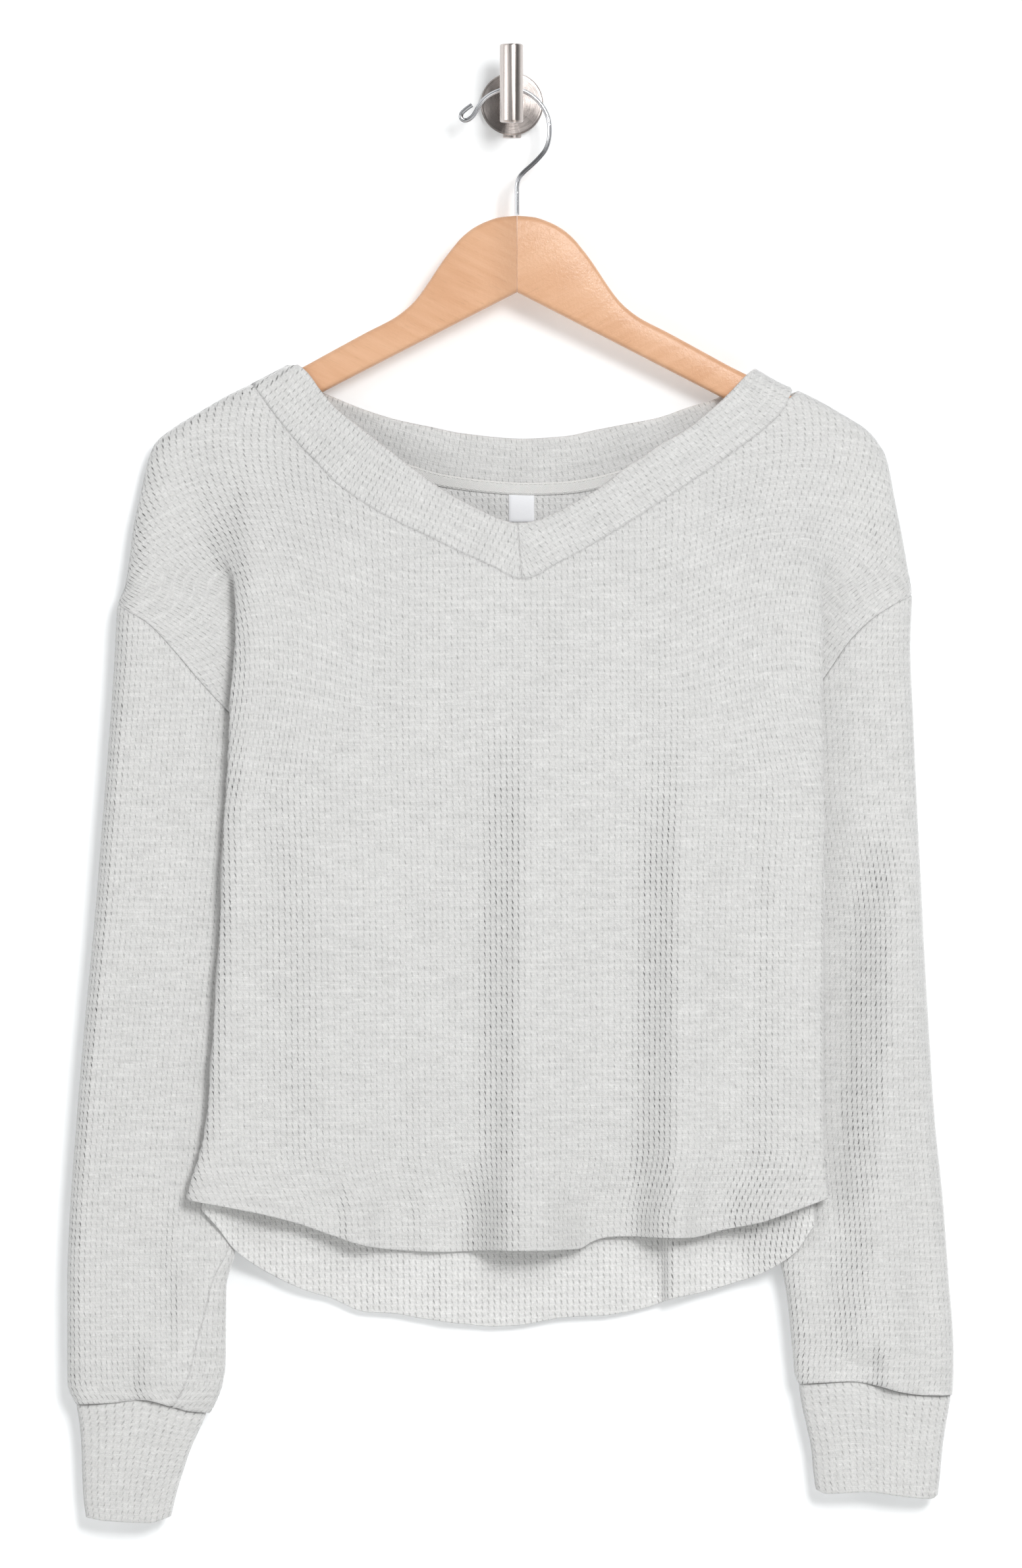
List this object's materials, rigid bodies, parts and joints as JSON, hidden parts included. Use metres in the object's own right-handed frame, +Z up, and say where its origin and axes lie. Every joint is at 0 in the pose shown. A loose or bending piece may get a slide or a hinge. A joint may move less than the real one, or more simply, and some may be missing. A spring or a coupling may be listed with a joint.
{
  "type": "thermal top on a wooden hanger hung from a wall hook",
  "caption": "Long-sleeved V-neck waffle-knit top with dropped shoulders, cuffs and a shirt-tail hem, hung flat on a wooden hanger from a steel wall hook.",
  "frame": {"origin": "middle of the wall bracket's back face, the face that meets the wall", "axes": "+Z up, +Y into the wall, +X to the viewer's right; the front of the top faces -Y"},
  "size_m": [0.546, 0.0519, 0.9083],
  "materials": {
    "waffle_knit": "soft heathered waffle knit",
    "neck_tape": "woven twill tape",
    "blank_label": "plain woven label",
    "varnished_wood": "clear varnish",
    "chrome_wire": "polished",
    "brushed_steel": "brushed"
  },
  "bodies": {
    "root": {"back": "waffle_knit", "front": "waffle_knit", "sleeve_left": "waffle_knit", "sleeve_right": "waffle_knit", "cuff_left": "waffle_knit", "cuff_right": "waffle_knit", "neckband": "waffle_knit", "neck_tape": "neck_tape", "label": "blank_label", "hanger_arm_left": "varnished_wood", "hanger_arm_right": "varnished_wood", "hanger_hook": "chrome_wire", "wall_bracket": "brushed_steel", "wall_plate": "brushed_steel", "wall_post": "brushed_steel", "wall_bar": "brushed_steel"}
  },
  "joints": []
}
